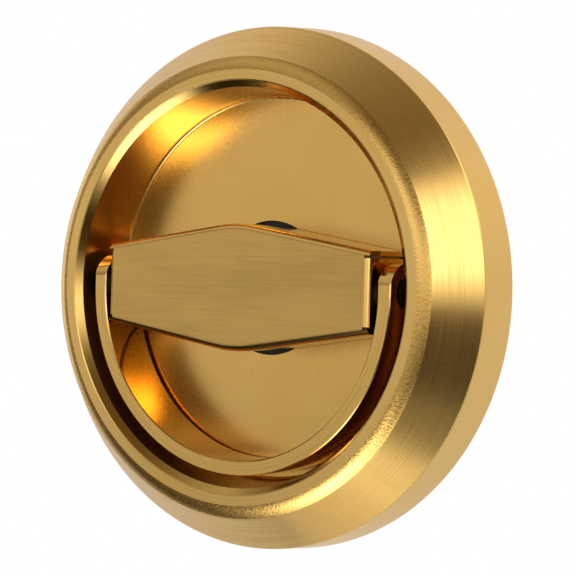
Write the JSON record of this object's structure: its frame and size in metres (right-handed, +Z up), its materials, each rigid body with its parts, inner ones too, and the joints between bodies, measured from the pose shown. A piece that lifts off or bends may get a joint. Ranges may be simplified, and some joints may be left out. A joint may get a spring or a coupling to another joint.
{
  "type": "recessed ring pull lock handle",
  "caption": "Round bevelled cup rose with a ring that folds out of a turning bridge and drives a square spindle to work a door latch; gold finish.",
  "frame": {"origin": "where the spindle's axis crosses the door face", "axes": "+X right, +Z up, the front faces -Y, and +Y runs along the spindle into the door"},
  "size_m": [0.081, 0.059, 0.081],
  "materials": {
    "gold_turned": "turned and satin, gold coating",
    "gold_brushed": "brushed along its length, gold coating",
    "gold_band": "polished band with brushed edges, gold coating",
    "plated_steel": "zinc plated",
    "raw_casting": "as cast",
    "spring_steel": "oiled spring steel",
    "black_steel": "blackened",
    "black_nylon": "moulded nylon"
  },
  "bodies": {
    "rose": {"cup_body": "gold_turned", "back_plate": "plated_steel", "plate_screws": "plated_steel", "hub_bush": "black_nylon", "fixing_post_left": "plated_steel", "fixing_post_right": "plated_steel", "return_spring": "spring_steel"},
    "bridge": {"bridge_cover": "gold_brushed", "bridge_core": "raw_casting", "thrust_washer": "spring_steel", "circlip_front": "spring_steel", "circlip_rear": "spring_steel", "drive_plate": "plated_steel", "spindle": "plated_steel", "spindle_pin": "spring_steel", "pivot_screw_left": "black_steel", "pivot_screw_right": "black_steel", "pivot_washer_left": "black_nylon", "pivot_washer_right": "black_nylon"},
    "ring": {"pull_ring": "gold_band"}
  },
  "joints": [
    {"name": "bridge_turn", "type": "hinge", "parent": "rose", "child": "bridge", "pos_m": [0, 0, 0], "axis": [0, -1, 0], "range_deg": [-50, 50], "stiffness_Nm_per_rad": 0.064, "deforming": ["return_spring"]},
    {"name": "ring_lift", "type": "hinge", "parent": "bridge", "child": "ring", "pos_m": [0, -0.00873, 0], "axis": [-1, 0, 0], "range_deg": [0, 180]}
  ]
}
